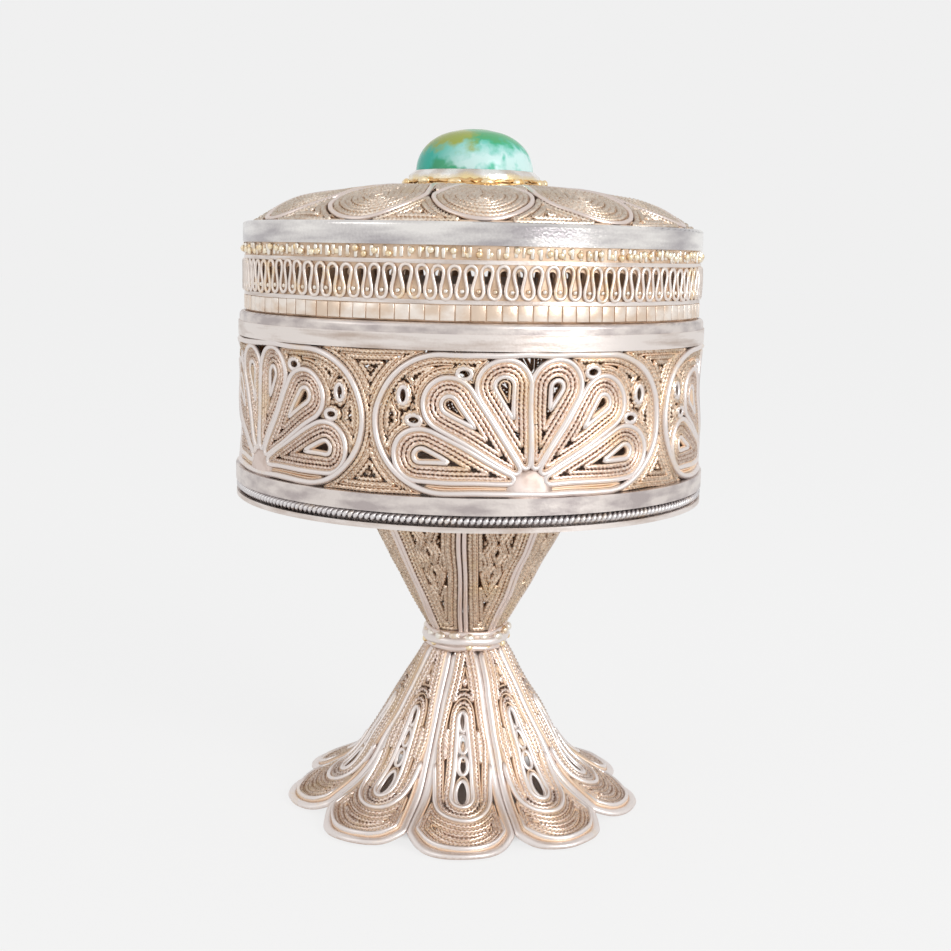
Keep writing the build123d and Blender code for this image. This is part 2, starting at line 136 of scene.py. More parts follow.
class Tree:
    """Adds nodes to a node tree."""

    def __init__(self, data):
        self.data = data

    def node(self, kind, sockets=None, output=0, **settings):
        """Makes a node: its settings are made first, then the values or links of its sockets."""
        made = self.data.nodes.new(kind)
        for label, value in settings.items():
            setattr(made, label, value)
        for label, value in (sockets or {}).items():
            if isinstance(value, Socket):
                self.data.links.new(value.output, made.inputs[label])
            else:
                made.inputs[label].default_value = value
        return Socket(self, made.outputs[output]) if made.outputs else made

    def math(self, operation, *values):
        return self.node("ShaderNodeMath", dict(enumerate(values)), operation=operation)

    def vector(self, x, y, z):
        return self.node("ShaderNodeCombineXYZ", {0: x, 1: y, 2: z})

    def scaled(self, vector, factor):
        return self.node("ShaderNodeVectorMath", {0: vector, "Scale": factor}, operation="SCALE")

    def dot(self, first, second):
        return self.node("ShaderNodeVectorMath", {0: first, 1: second}, "Value", operation="DOT_PRODUCT")


# %% [markdown]
# Real silver filigree is never one colour. The crown of each wire is rubbed bright, and the sides and the
# gaps between wires keep a warm brown tarnish. The wires made below carry an attribute named crown, which
# is 1 on the side that faces out and falls to -1 behind, and the material mixes its colours by it. A fine
# noise on top of the crown paints glints: bright specks a bead wide, where a bead would catch the light.

# %% Materials for wires


def new_material(name):
    """An empty node material, with its output."""
    material = bpy.data.materials.new(name)
    material.use_nodes = True
    material.node_tree.nodes.clear()
    return material, Tree(material.node_tree)


def mixed(tree, factor, first, second):
    """A colour between two colours."""
    return tree.node("ShaderNodeMix", {0: factor, 6: first, 7: second}, 2, data_type="RGBA")


def between(tree, value, low, high):
    """0 where the value is at or below low, 1 at or above high, and straight between."""
    return tree.node("ShaderNodeMapRange", {"Value": value, "From Min": low, "From Max": high})


def noise(tree, size, detail=2.0, flat=1.0):
    """Cloudy noise from 0 to 1, of patches about a size wide in millimetres and flatter by a factor."""
    place = tree.node("ShaderNodeTexCoord", output="Object") * tree.vector(1.0, 1.0, flat)
    sockets = {"Vector": place, "Scale": 1 / (size * MM), "Detail": detail}
    return tree.node("ShaderNodeTexNoise", sockets)


def close_material(tree, colour, roughness, metallic=1.0, bump=None, depth=0.0, shine=0.5):
    """Ends a material with one metal or stone shader."""
    sockets = {"Base Color": colour, "Roughness": roughness, "Metallic": metallic,
               "Specular IOR Level": shine}
    if bump is not None:
        height = {"Height": bump, "Distance": depth * MM, "Strength": 1.0}
        sockets["Normal"] = tree.node("ShaderNodeBump", height)
    shader = tree.node("ShaderNodeBsdfPrincipled", sockets)
    tree.node("ShaderNodeOutputMaterial", {"Surface": shader})


SOLDER_GOLD = (0.88, 0.66, 0.40, 1)


def wire_material(name, bright, dull, low, high, rough, gold, speckle=1.3, metal=0.9):
    """Silver wire, dull where its crown is at low or less and bright at high or more. Rough is its
    roughness, gold how strong the patches of old solder are, speckle how much a fine noise of painted
    glints counts beside the crown, and metal its metallic share."""
    material, tree = new_material(name)
    crown = tree.node("ShaderNodeAttribute", output="Fac", attribute_name="crown")
    cloud = noise(tree, 3.0)
    fine = noise(tree, 0.25)
    # The crown's rubbed brightness, with painted glints where the fine noise peaks.
    rubbed_and_glints = between(tree, crown + (fine - 0.5) * speckle, low, high)
    colour = mixed(tree, rubbed_and_glints, (*dull, 1), (*bright, 1))
    solder = between(tree, cloud + (fine - 0.5) * 0.5, 0.55, 0.72) * gold
    colour = mixed(tree, solder, colour, SOLDER_GOLD)
    close_material(tree, colour, rough + (fine - 0.5) * 0.25 - rubbed_and_glints * 0.08, metal)
    return material


twisted_silver = wire_material("twisted_silver", (1.00, 0.87, 0.79), (0.70, 0.54, 0.46), 0.0, 1.1,
                               rough=0.38, gold=0.35, speckle=4.5)
warm_twist = wire_material("warm_twist", (1.00, 0.84, 0.74), (0.72, 0.52, 0.41), 0.0, 1.1,
                           rough=0.36, gold=0.45, speckle=6.0)
dome_twist = wire_material("dome_twist", (1.00, 0.88, 0.76), (0.82, 0.64, 0.50), -0.3, 1.0,
                           rough=0.4, gold=0.5, speckle=6.0)
golden_twist = wire_material("golden_twist", (1.00, 0.83, 0.68), (0.70, 0.51, 0.37), 0.0, 1.1,
                             rough=0.34, gold=0.5, speckle=6.0)
smooth_silver = wire_material("smooth_silver", (0.83, 0.76, 0.73), (0.60, 0.46, 0.39), -0.7, 0.2,
                              rough=0.45, gold=0.25)
pink_wire = wire_material("pink_wire", (0.78, 0.67, 0.62), (0.56, 0.42, 0.35), -0.7, 0.3,
                          rough=0.42, gold=0.25)
band_wire = wire_material("band_wire", (0.86, 0.77, 0.71), (0.66, 0.48, 0.38), -0.7, 0.4,
                          rough=0.42, gold=0.7)
golden_wire = wire_material("golden_wire", (0.92, 0.74, 0.46), (0.70, 0.42, 0.17), -0.5, 0.8,
                            rough=0.38, gold=0.4)
rope_silver = wire_material("rope_silver", (0.78, 0.75, 0.75), (0.42, 0.38, 0.40), -0.3, 0.9,
                            rough=0.44, gold=0.3)
deep_silver = wire_material("deep_silver", (0.98, 0.76, 0.58), (0.84, 0.58, 0.40), -0.8, 0.9,
                            rough=0.5, gold=0.5, metal=0.3)
print("wire materials", twisted_silver.name, smooth_silver.name, golden_wire.name, deep_silver.name)

# %% [markdown]
# Polished bands, satin rings and the floor keep their solids, which have no crown attribute. Their
# finish comes from noise alone: clouds of tarnish, fine scratches along the ring, and a little bump. On
# the polished band the grey clouds are partly tarnish and partly painted reflection of grey surroundings.

# %% Materials for bands


def band_material(name, bright, dull, rough, spread, size=5.0, flat=5.0, metal=0.95):
    """Sheet silver with streaks of tarnish, which on the polished band are partly painted reflection.
    Spread is how much of it is dull, size how wide a streak is in millimetres, and flat how many times
    wider than high."""
    material, tree = new_material(name)
    cloud = noise(tree, size, 3.0, flat)
    fine = noise(tree, 0.18)
    dull_share = between(tree, cloud + (fine - 0.5) * 0.1, spread - 0.12, spread + 0.12)
    colour = mixed(tree, dull_share, (*dull, 1), (*bright, 1))
    close_material(tree, colour, rough + (fine - 0.5) * 0.18, metal, fine + cloud * 2, 0.01)
    return material


# Its grey clouds are partly tarnish and partly painted reflection, the grey surroundings in a mirror finish.
polished_band = band_material("polished_band", (0.90, 0.87, 0.84), (0.48, 0.45, 0.46), 0.18, 0.49, 9, 6)
satin_silver = band_material("satin_silver", (0.84, 0.77, 0.73), (0.56, 0.46, 0.40), 0.34, 0.44, 6, 8)
cream_silver = band_material("cream_silver", (0.93, 0.84, 0.76), (0.78, 0.62, 0.49), 0.34, 0.50, 2.5, 2,
                             metal=0.85)
grey_silver = band_material("grey_silver", (0.78, 0.71, 0.67), (0.50, 0.44, 0.43), 0.34, 0.48, 3, 3)
smooth_sheet = band_material("smooth_sheet", (0.78, 0.67, 0.62), (0.60, 0.48, 0.42), 0.55, 0.46, 1.5, 1)
golden_solder = band_material("golden_solder", (0.94, 0.80, 0.54), (0.82, 0.50, 0.18), 0.34, 0.45, 1.2, 1)
pale_solder = band_material("pale_solder", (0.94, 0.84, 0.66), (0.82, 0.60, 0.34), 0.34, 0.45, 1.2, 1)
bright_solder = band_material("bright_solder", (0.88, 0.83, 0.76), (0.72, 0.56, 0.40), 0.34, 0.42, 1.0, 1)
warm_silver = band_material("warm_silver", (0.82, 0.62, 0.46), (0.58, 0.41, 0.28), 0.42, 0.50, 1.5, 1,
                            metal=0.5)
shaded_silver = band_material("shaded_silver", (0.88, 0.81, 0.76), (0.74, 0.63, 0.56), 0.36, 0.50, 3.5, 2,
                              metal=0.8)
GILT_FULL, GILT_END = 0.65, 1.15


def bezel_material():
    """Polished silver, gilded near its foot by the solder that ran up it: fully up to one height, and
    not at all over another, in millimetres over its foot."""
    material, tree = new_material("gilded_bezel")
    place = tree.node("ShaderNodeSeparateXYZ", {0: tree.node("ShaderNodeTexCoord", output="Object")})
    cloud, fine = noise(tree, 2.2, 2.0), noise(tree, 0.18)
    dull_share = between(tree, cloud, 0.40, 0.60)
    colour = mixed(tree, dull_share, (0.66, 0.58, 0.52, 1), (0.88, 0.86, 0.83, 1))
    ragged = place.sibling("Z") + (cloud - 0.5) * 1.2 * MM
    gilt = between(tree, ragged, (bezel_base + GILT_END) * MM, (bezel_base + GILT_FULL) * MM)
    colour = mixed(tree, gilt, colour, (0.94, 0.76, 0.40, 1))
    close_material(tree, colour, 0.24 + (fine - 0.5) * 0.18, 0.95, fine + cloud * 2, 0.01)
    return material


gilded_bezel = bezel_material()
print("band materials", polished_band.name, satin_silver.name, grey_silver.name, warm_silver.name)

# %% [markdown]
# The stone is a polished cabochon, mottled in greens and turquoise with olive patches. Two noises choose
# between its colours, by height and by side. A pale patch low on the middle and right is a painted
# highlight, where the gloss of the lamps would show.

# %% Material for the stone


def stone_material():
    material, tree = new_material("mottled_stone")
    patches = noise(tree, 2.6, 3.0)
    veins = noise(tree, 1.3, 4.0)
    place = tree.node("ShaderNodeSeparateXYZ", {0: tree.node("ShaderNodeTexCoord", output="Object")})
    height = between(tree, place.sibling("Z"), stone_base * MM, stone_top * MM)
    ragged = height + (veins - 0.5) * 0.7
    colour = mixed(tree, between(tree, patches, 0.38, 0.52), (0.08, 0.46, 0.24, 1), (0.06, 0.60, 0.48, 1))
    colour = mixed(tree, between(tree, ragged, 0.62, 0.84), colour, (0.09, 0.46, 0.19, 1))
    leftward = between(tree, place * -1.0, -1.5 * MM, 3.0 * MM)
    olive = between(tree, ragged, 0.55, 0.74) * between(tree, leftward + veins, 0.75, 1.0)
    colour = mixed(tree, olive, colour, (0.40, 0.48, 0.10, 1))
    # Painted highlight: a pale patch low on the middle and right of the stone, standing in for its gloss.
    painted_gloss = between(tree, patches + veins * 0.5, 0.62, 0.78) * between(tree, ragged, 0.76, 0.50)
    painted_gloss = painted_gloss * between(tree, place + veins * 2 * MM, -2.5 * MM, 0.5 * MM)
    colour = mixed(tree, painted_gloss, colour, (0.66, 0.92, 0.90, 1))
    close_material(tree, colour, 0.12 + veins * 0.1, 0.0, veins, 0.02, 0.22)
    return material


mottled_stone = stone_material()

# %% [markdown]
# A Geometry Nodes tree turns drawn lines into wires. The lines come in flat, as a drawing on paper.
# The tree lays them on the surface, cuts them into short even steps, sweeps an oval section along them,
# which turns as it runs along a twisted wire and lies flat on a plain one, and sets copies round the axis.

# %% Start and end of a tree
HAND_WAVE = 3.5
NOISE_TO_ONE = 4.0


def new_tree(name, sizes):
    """A Geometry Nodes tree whose inputs are the geometry, the sizes named here, and the ring's own."""
    data = bpy.data.node_groups.new(name, "GeometryNodeTree")
    data.interface.new_socket("Geometry", in_out="OUTPUT", socket_type="NodeSocketGeometry")
    data.interface.new_socket("Geometry", in_out="INPUT", socket_type="NodeSocketGeometry")
    ring = {"Copies": "Int", "First Angle": "Float", "Wobble": "Float", "Uneven": "Float",
            "Material": "Material"}
    for label, kind in {**sizes, **ring}.items():
        data.interface.new_socket(label, in_out="INPUT", socket_type="NodeSocket" + kind)
    tree = Tree(data)
    start = data.nodes.new("NodeGroupInput")
    return tree, {socket.name: Socket(tree, socket) for socket in start.outputs if socket.name}


def close_tree(tree, given, shape):
    """Sets copies of a shape round the axis and ends the tree. Uneven moves each copy a little, and
    Wobble bends all of it in short waves, as the maker's unsteady hand does. Noise stays within about
    a quarter of its middle, and a factor brings that to one."""
    unit = {0: (-1, -1, -1), 1: (1, 1, 1), "Seed": 7}
    scatter = tree.node("FunctionNodeRandomValue", unit, data_type="FLOAT_VECTOR")
    scatter = tree.scaled(scatter, given["Uneven"])
    spots = tree.node("GeometryNodePoints", {"Count": given["Copies"], "Position": scatter})
    number = tree.node("GeometryNodeInputIndex")
    angle = number * (2 * pi) / given["Copies"] + given["First Angle"]
    placing = {"Points": spots, "Instance": shape, "Rotation": tree.vector(0.0, 0.0, angle)}
    ring = tree.node("GeometryNodeInstanceOnPoints", placing)
    ring = tree.node("GeometryNodeRealizeInstances", {0: ring})
    place = tree.node("GeometryNodeInputPosition")
    waves = {"Vector": place, "Scale": 1 / (HAND_WAVE * MM), "Detail": 0.0}
    cloud = tree.node("ShaderNodeTexNoise", waves, "Color")
    middle = tree.node("ShaderNodeVectorMath", {0: cloud, 1: (0.5, 0.5, 0.5)}, operation="SUBTRACT")
    push = tree.scaled(middle, given["Wobble"] * NOISE_TO_ONE)
    ring = tree.node("GeometryNodeSetPosition", {0: ring, "Offset": push})
    ring = tree.node("GeometryNodeSetShadeSmooth", {0: ring})
    ring = tree.node("GeometryNodeSetMaterial", {0: ring, "Material": given["Material"]})
    end = tree.data.nodes.new("NodeGroupOutput")
    tree.data.links.new(ring.output, end.inputs[0])
    return tree.data


def copies_tree():
    """The simplest tree: copies of any mesh round the axis."""
    tree, given = new_tree("copies_round_the_axis", {})
    return close_tree(tree, given, given["Geometry"])


set_round = copies_tree()

# %% [markdown]
# Two ways to lay a drawing on a surface. On the wall and on the stem cup the drawing is wrapped round the
# axis: X becomes a length along the round, and Y the height. On the foot and the dome the drawing is a
# plan, and each point drops straight down onto the solid, as a Raycast node finds it.

# %% Trees that lay wires
BLUNT_END = 0.02


def remember(tree, shape, label, value, kind="FLOAT_VECTOR"):
    """Stores a value at each point of a shape."""
    sockets = {0: shape, "Name": label, "Value": value}
    return tree.node("GeometryNodeStoreNamedAttribute", sockets, data_type=kind)


def recall(tree, label, kind="FLOAT_VECTOR"):
    """The value stored at each point."""
    return tree.node("GeometryNodeInputNamedAttribute", {0: label}, data_type=kind)


def wire_of(tree, given, line, place, outward):
    """Sweeps a section along a laid line, narrower where an open end is closer than the taper, and marks
    each point of the wire with its crown. The line is cut a few times in each half turn."""
    line = tree.node("GeometryNodeSetPosition", {0: line, "Position": place})
    line = remember(tree, line, "outward", outward)
    step = given["Twist Length"] / given["Cuts"]
    line = tree.node("GeometryNodeResampleCurve", {0: line, "Length": step}, mode="LENGTH")
    outward = tree.node("ShaderNodeVectorMath", {0: recall(tree, "outward")}, operation="NORMALIZE")
    line = tree.node("GeometryNodeSetCurveNormal", {0: line, "Normal": outward}, mode="FREE")
    twist = recall(tree, "twist", "FLOAT")
    along = tree.node("GeometryNodeSplineParameter", output="Length")
    tilt = twist * along * pi / given["Twist Length"]
    line = tree.node("GeometryNodeSetCurveTilt", {0: line, "Tilt": tilt})
    whole = tree.node("GeometryNodeSplineLength")
    from_end = tree.math("MINIMUM", along, whole - along)
    near_end = between(tree, from_end, given["Taper"], 0.0)
    narrow = tree.math("SQRT", 1 + BLUNT_END - near_end * near_end)
    line = remember(tree, line, "centre", tree.node("GeometryNodeInputPosition"))
    circle = tree.node("GeometryNodeCurvePrimitiveCircle", {"Resolution": given["Sides"], "Radius": 1.0})
    section = tree.vector(given["Wide"] / 2.0, given["Thin"] / 2.0, 1.0)
    circle = tree.node("GeometryNodeTransform", {0: circle, "Scale": section})
    sweep = {"Curve": line, "Profile Curve": circle, "Scale": narrow, "Fill Caps": True}
    wire = tree.node("GeometryNodeCurveToMesh", sweep)
    rise = tree.dot(tree.node("GeometryNodeInputPosition") - recall(tree, "centre"), outward)
    wire = remember(tree, wire, "crown", rise / (given["Wide"] / 2.0), "FLOAT")
    for spare in ("centre", "outward", "twist"):
        wire = tree.node("GeometryNodeRemoveAttribute", {0: wire, "Name": spare})
    return close_tree(tree, given, wire)


WIRE_SIZES = {"Wide": "Float", "Thin": "Float", "Twist Length": "Float", "Sides": "Int", "Lift": "Float",
              "Taper": "Float", "Cuts": "Float"}


def wrap_tree():
    """Lays lines round the axis, on a cylinder or on a cone between two levels."""
    cone = {"Low Level": "Float", "High Level": "Float", "Low Radius": "Float", "High Radius": "Float"}
    tree, given = new_tree("wires_round_the_axis", {**WIRE_SIZES, **cone})
    line = tree.node("GeometryNodeMeshToCurve", {0: given["Geometry"]})
    drawn = tree.node("ShaderNodeSeparateXYZ", {0: tree.node("GeometryNodeInputPosition")})
    across, level, above = drawn, drawn.sibling("Y"), drawn.sibling("Z")
    slope = (given["High Radius"] - given["Low Radius"]) / (given["High Level"] - given["Low Level"])
    radius = given["Low Radius"] + (level - given["Low Level"]) * slope
    angle = across / radius
    flat = 1.0 / tree.math("SQRT", 1.0 + slope * slope)
    east, north = tree.math("SINE", angle), tree.math("COSINE", angle) * -1.0
    outward = tree.vector(east * flat, north * flat, slope * flat * -1.0)
    place = tree.vector(east * radius, north * radius, level)
    place = place + tree.scaled(outward, above + given["Lift"])
    return wire_of(tree, given, line, place, outward)


def drop_tree():
    """Drops lines from above onto a solid."""
    tree, given = new_tree("wires_dropped_on_a_sheet", {**WIRE_SIZES, "Sheet": "Object"})
    line = tree.node("GeometryNodeMeshToCurve", {0: given["Geometry"]})
    place = tree.node("GeometryNodeInputPosition")
    above = tree.node("ShaderNodeSeparateXYZ", {0: place}).sibling("Z")
    sheet = tree.node("GeometryNodeObjectInfo", {0: given["Sheet"]}, output="Geometry")
    start = place + tree.vector(0.0, 0.0, 1.0)
    ray = {"Target Geometry": sheet, "Source Position": start, "Ray Direction": (0, 0, -1),
           "Ray Length": 2.0}
    hit = tree.node("GeometryNodeRaycast", ray, output="Hit Position")
    outward = hit.sibling("Hit Normal")
    return wire_of(tree, given, line, hit + tree.scaled(outward, above + given["Lift"]), outward)


lay_round, lay_down = wrap_tree(), drop_tree()
print("trees", set_round.name, lay_round.name, lay_down.name)

# %% [markdown]
# A tree runs as a modifier on a mesh that holds only the drawing. Its result is then copied into a plain
# mesh, and the modifier goes with the drawing.

# %% Run a tree
LENGTHS = {"Wide", "Thin", "Twist Length", "Lift", "Taper", "Wobble", "Uneven", "Low Level", "High Level",
           "Low Radius", "High Radius"}


def grow(name, mesh, tree, sizes, body, replaced=()):
    """Runs a tree on a mesh with sizes in millimetres, and gives the piece that comes out its body and
    the solids it replaces."""
    source = bpy.data.objects.new(name + "_drawing", mesh)
    bpy.context.collection.objects.link(source)
    modifier = source.modifiers.new("grow", "NODES")
    modifier.node_group = tree
    sockets = {item.name: item.identifier for item in tree.interface.items_tree if item.in_out == "INPUT"}
    for label, value in {"Copies": 1, **sizes}.items():
        modifier[sockets[label]] = value * MM if label in LENGTHS else value
    graph = bpy.context.evaluated_depsgraph_get()
    grown = bpy.data.meshes.new_from_object(source.evaluated_get(graph))
    bpy.data.objects.remove(source)
    piece = bpy.data.objects.new(name, grown)
    bpy.context.collection.objects.link(piece)
    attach(piece, body)
    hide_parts(*replaced)
    print(name, sum(len(face.vertices) - 2 for face in grown.polygons), "triangles")
    return piece


Strand = namedtuple("Strand", "points closed twist")


def drawing(strands):
    """A mesh of edges alone: one chain of points for each strand, and its twist as an attribute."""
    points, edges, twists = [], [], []
    for strand in strands:
        first, count = len(points), len(strand.points)
        points += [(p[0] * MM, p[1] * MM, (p[2] if len(p) > 2 else 0) * MM) for p in strand.points]
        edges += [(first + n, first + n + 1) for n in range(count - 1)]
        if strand.closed:
            edges.append((first + count - 1, first))
        twists += [float(strand.twist)] * count
    mesh = bpy.data.meshes.new("drawing")
    mesh.from_pydata(points, edges, [])
    mesh.attributes.new("twist", "FLOAT", "POINT").data.foreach_set("value", twists)
    return mesh


# %% [markdown]
# The fill of a filigree cell runs round and round inside its outline, row after row, until no room is
# left. The same rows are the lines at equal depth inside the cell, as on a map. So each cell is written as
# a field that says how far a point is from its edge, negative inside, and its rows are contour lines.

# %% Fields and their contour lines


def paper(low, high, step=0.07):
    """A grid of points over a rectangle: its X and Y lines, and both as arrays."""
    xs, ys = (np.arange(a, b + step, step) for a, b in zip(low, high))
    return xs, ys, *np.meshgrid(xs, ys, indexing="ij")


def disc(X, Y, centre, radius):
    return np.hypot(X - centre[0], Y - centre[1]) - radius


def teardrop(X, Y, root, root_radius, tip, tip_radius):
    """How far points are from the outline round two circles of different size."""
    axis = np.subtract(tip, root)
    length = hypot(*axis)
    ahead = axis / length
    along = (X - root[0]) * ahead[0] + (Y - root[1]) * ahead[1]
    aside = np.abs((X - root[0]) * ahead[1] - (Y - root[1]) * ahead[0])
    lean = (root_radius - tip_radius) / length
    upright = (1 - lean**2) ** 0.5
    turn = along * upright - aside * lean
    side = aside * upright + along * lean - root_radius
    near_root = np.hypot(aside, along) - root_radius
    near_tip = np.hypot(aside, along - length) - tip_radius
    return np.where(turn < 0, near_root, np.where(turn > length * upright, near_tip, side))


def stadium(X, Y, centre, half_length, half_height):
    """Straight rails with round ends."""
    ends = half_length - half_height
    return np.hypot(np.maximum(np.abs(X - centre[0]) - ends, 0), Y - centre[1]) - half_height


def contour(xs, ys, field, level):
    """The lines on which a field has one level, each a list of points and whether it closes."""
    inside = field < level
    count = inside[:-1, :-1].astype(int) + inside[1:, :-1] + inside[:-1, 1:] + inside[1:, 1:]
    crossings, links = {}, {}
    for i, j in np.argwhere((count > 0) & (count < 4)):
        corners = [(i, j), (i + 1, j), (i + 1, j + 1), (i, j + 1)]
        cuts = []
        for a, b in zip(corners, corners[1:] + corners[:1]):
            if inside[a] != inside[b]:
                a, b = min(a, b), max(a, b)
                share = (level - field[a]) / (field[b] - field[a])
                x = xs[a[0]] + share * (xs[b[0]] - xs[a[0]])
                y = ys[a[1]] + share * (ys[b[1]] - ys[a[1]])
                crossings[a, b] = (x, y)
                cuts.append((a, b))
        for first, second in zip(cuts[::2], cuts[1::2]):
            links.setdefault(first, []).append(second)
            links.setdefault(second, []).append(first)
    lines = []
    for start in [key for key, near in links.items() if len(near) == 1] + list(links):
        if start not in links:
            continue
        line, here = [], start
        while here is not None:
            near = links.pop(here)
            line.append(crossings[here])
            here = next((key for key in near if key in links), None)
        lines.append((line, len(line) > 3 and start in near))
    return lines


def length_of(points):
    return float(np.hypot(*np.diff(np.array(points)[:, :2], axis=0).T).sum())


def rows(xs, ys, field, first, pitch, count, shortest=1.2, twist=1):
    """Rows inside a cell: the first at a distance from its edge, each next one a pitch further in."""
    strands = []
    for number in range(count):
        hand = twist * (1 - number % 2 * 2)
        for line, closed in contour(xs, ys, field, -first - number * pitch):
            if length_of(line) > shortest:
                strands.append(Strand(line[::2] if len(line) > 12 else line, closed, hand))
    return strands


def outline(xs, ys, field, depth, shortest=1.2):
    """One plain wire at a depth inside the edge of a cell."""
    return rows(xs, ys, field, depth, 1, 1, shortest, twist=0)


def kept(strands, wanted):
    """The stretches of the strands whose points are wanted."""
    found = []
    for strand in strands:
        good = [wanted(*p[:2]) for p in strand.points]
        if all(good):
            found.append(strand)
            continue
        run = []
        points = list(strand.points)
        if strand.closed:
            gap = good.index(False)
            points, good = points[gap:] + points[:gap], good[gap:] + good[:gap]
        for point, keep in zip(points + [None], good + [False]):
            if keep:
                run.append(point)
            else:
                if len(run) > 5:
                    found.append(Strand(run, False, strand.twist))
                run = []
    return found


xs, ys, X, Y = paper((-3, -3), (3, 3))
inner_row = outline(xs, ys, disc(X, Y, (0, 0), 2), 0.5)[0]
print("a row 0.5 mm inside a disc of 2 mm is", round(length_of(inner_row.points), 2), "mm long")

# %% [markdown]
# The sizes of the wires themselves. A twisted wire here is two thin wires turned together and rolled
# flat, half a millimetre wide, and each half turn shows as one small bead. A web of flat wires lies
# deeper, under the gaps between the rows, as the layers of solder do.

# %% Wire sizes
ROW = 0.46
FINE_ROW, CLOSE_ROW, WEB_ROW = 0.33, ROW * 0.9, ROW * 0.7
EYE_WIRE = 0.12
HAND = {"Wobble": 0.08, "Cuts": 4.0}
THIN_WIRE = {**HAND, "Wide": 0.32, "Thin": 0.40, "Twist Length": 0.7, "Sides": 6,
             "Lift": 0.12, "Material": smooth_silver}
TWISTED = {**HAND, "Wide": 0.52, "Thin": 0.25, "Twist Length": 0.35, "Sides": 4,
           "Lift": 0.05, "Material": twisted_silver}
SMOOTH = {**HAND, "Wide": 0.50, "Thin": 0.42, "Twist Length": 1.0, "Sides": 8,
          "Lift": 0.12, "Material": smooth_silver}
WEB = {**HAND, "Wide": 0.54, "Thin": 0.2, "Twist Length": 1.0, "Sides": 4,
       "Lift": -0.05, "Material": deep_silver}


def cone(low, high, low_radius, high_radius):
    """The sizes of a cone to wrap a drawing on, given in millimetres."""
    return {"Low Level": low, "High Level": high, "Low Radius": low_radius,
            "High Radius": high_radius}


def cylinder(radius):
    return cone(0.0, 1.0, radius, radius)


WALL = cylinder(ground_radius)

# %% [markdown]
# The wall has five medallions. Each is a long frame with round ends, and a fan of six petals on a hub.
# A petal is a teardrop: its outline is the contour of its field, and its fill is three twisted rows,
# then a plain wire round an open slot.

# %% Draw a medallion
MEDALLIONS = 5
PETALS = 6
frieze_middle = (frieze_base + frieze_top) / 2
frame_half_height = (frieze_top - frieze_base) / 2
frame_gap = 0.6
frame_half_length = pi * ground_radius / MEDALLIONS - frame_gap / 2
hub = (0.0, frieze_base + 0.9)
petal_root, petal_root_radius, petal_tip_radius = 1.6, 0.55, 2.2
fan_reach, fan_headroom = 8.5, 0.35
fan_wire = 0.42
SLOT_MARGINS = (0.30, 0.24, 0.34, 0.12, 0.20, 0.30)


def fan_petal(X, Y, number):
    """The field of one petal of the fan, counted from the right."""
    angle = radians(180 / PETALS * (number + 0.5))
    reach = min(fan_reach, (frieze_top - fan_headroom - hub[1] - petal_tip_radius) / sin(angle))
    root = (petal_root * cos(angle), hub[1] + petal_root * sin(angle))
    tip = (reach * cos(angle), hub[1] + reach * sin(angle))
    return teardrop(X, Y, root, petal_root_radius, tip, petal_tip_radius)


xs, ys, X, Y = paper((-12.2, frieze_base - 0.3), (12.2, frieze_top + 0.3))
petals = [fan_petal(X, Y, number) for number in range(PETALS)]
frame_field = stadium(X, Y, (0, frieze_middle), frame_half_length, frame_half_height)
fan_lines, slot_lines, medallion_rows = [], [], []
for petal, margin in zip(petals, SLOT_MARGINS):
    fan_lines += outline(xs, ys, petal, fan_wire / 2)
    medallion_rows += rows(xs, ys, petal, fan_wire + FINE_ROW / 2, FINE_ROW, 3)
    slot_lines += outline(xs, ys, petal, fan_wire + 3 * FINE_ROW + margin - 0.06)
frame_lines = outline(xs, ys, frame_field, 0.25)
medallion_web = []
for petal in petals:
    medallion_web += rows(xs, ys, petal, fan_wire, ROW, 4, twist=0)

# %% [markdown]
# Between the fan and the frame the rows follow the frame and the petals, round small open eyes. The
# pointed space over the two middle petals stays open.

# %% Fill the rest of the medallion
EYES = [(9.5, 37.6, 0.26, 0.44), (4.9, 39.4, 0.40, 0.30), (8.7, 35.9, 0.38, 0.26)]
GROUND_ROW = ROW * 0.92
OPEN_HALF_WIDTH, OPEN_BASE = 1.7, 37


def eye_fields(X, Y):
    """The small oval openings beside the fan, on both sides."""
    return [(np.hypot((X - side * x) / wide, (Y - level) / high) - 1) * min(wide, high)
            for x, level, wide, high in EYES for side in (-1, 1)]


def beside_opening(x, y):
    return abs(x) > OPEN_HALF_WIDTH or y < OPEN_BASE


ground = np.maximum(frame_field + 0.45, -np.minimum.reduce(petals + [disc(X, Y, hub, 1.0)]))
for eye in eye_fields(X, Y):
    ground = np.maximum(ground, -eye)
    slot_lines += outline(xs, ys, eye, -EYE_WIRE)
ground_rows = kept(rows(xs, ys, ground, 0.04 + ROW / 2, GROUND_ROW, 6, shortest=0.6), beside_opening)
medallion_web += kept(rows(xs, ys, ground, 0.1, GROUND_ROW, 6, twist=0, shortest=0.6), beside_opening)
twist_length = sum(length_of(row.points) for row in medallion_rows)
print("medallion rows", len(medallion_rows), "of", round(twist_length), "mm")

# %% [markdown]
# The same drawings go on the wall five times, each turned to where its solid stands.

